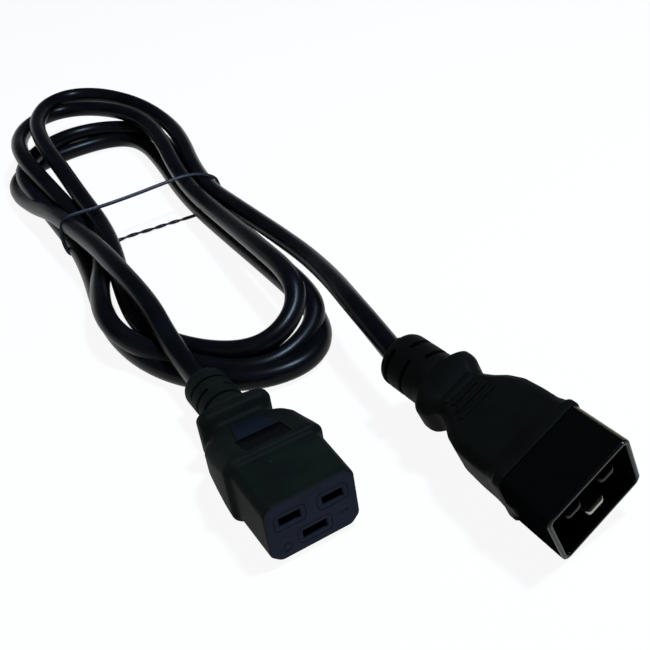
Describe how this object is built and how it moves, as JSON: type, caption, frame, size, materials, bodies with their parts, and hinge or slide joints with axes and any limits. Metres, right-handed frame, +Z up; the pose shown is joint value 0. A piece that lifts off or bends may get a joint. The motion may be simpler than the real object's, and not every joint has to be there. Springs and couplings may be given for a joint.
{
  "type": "c19 to c20 power cord",
  "caption": "Coiled black mains cord with a moulded rectangular female connector at one end and a shrouded male plug with flat pins at the other, held by a thin tie.",
  "frame": {"origin": "on the table under the middle of the C19 connector, halfway along it", "axes": "+Y from the C19 mating face back along the connector to its cord, +Z up, +X to the side where the C20 plug lies"},
  "size_m": [0.0936, 0.4079, 0.0338],
  "materials": {
    "c19_overmould": "fine-grained soft PVC moulding",
    "c19_insert": "smooth hard plastic",
    "c20_overmould": "fine-grained soft PVC moulding",
    "c20_shroud": "polished hard plastic",
    "cord_jacket": "semi-gloss PVC sheath",
    "tie_plastic": "plastic-coated wire",
    "contact_metal": "plain sheet brass",
    "pin_metal": "nickel-plated brass",
    "copper": "bare copper strand",
    "core_brown": "wire insulation",
    "core_blue": "wire insulation",
    "core_green_yellow": "wire insulation"
  },
  "bodies": {
    "root": {"c19_contact_carrier": "c19_insert", "c19_cord_sheath": "cord_jacket", "c19_earth_conductor": "copper", "c19_earth_contact": "contact_metal", "c19_earth_core": "core_green_yellow", "c19_housing": "c19_overmould", "c19_line_conductor": "copper", "c19_line_contact": "contact_metal", "c19_line_core": "core_brown", "c19_neutral_conductor": "copper", "c19_neutral_contact": "contact_metal", "c19_neutral_core": "core_blue", "c19_tail_cord": "cord_jacket", "c20_cord_sheath": "cord_jacket", "c20_earth_conductor": "copper", "c20_earth_core": "core_green_yellow", "c20_earth_pin": "pin_metal", "c20_housing": "c20_overmould", "c20_line_conductor": "copper", "c20_line_core": "core_brown", "c20_line_pin": "pin_metal", "c20_neutral_conductor": "copper", "c20_neutral_core": "core_blue", "c20_neutral_pin": "pin_metal", "c20_pin_carrier": "c20_shroud", "c20_tail_cord": "cord_jacket", "cable_tie": "tie_plastic", "cord_coil": "cord_jacket"}
  },
  "joints": []
}
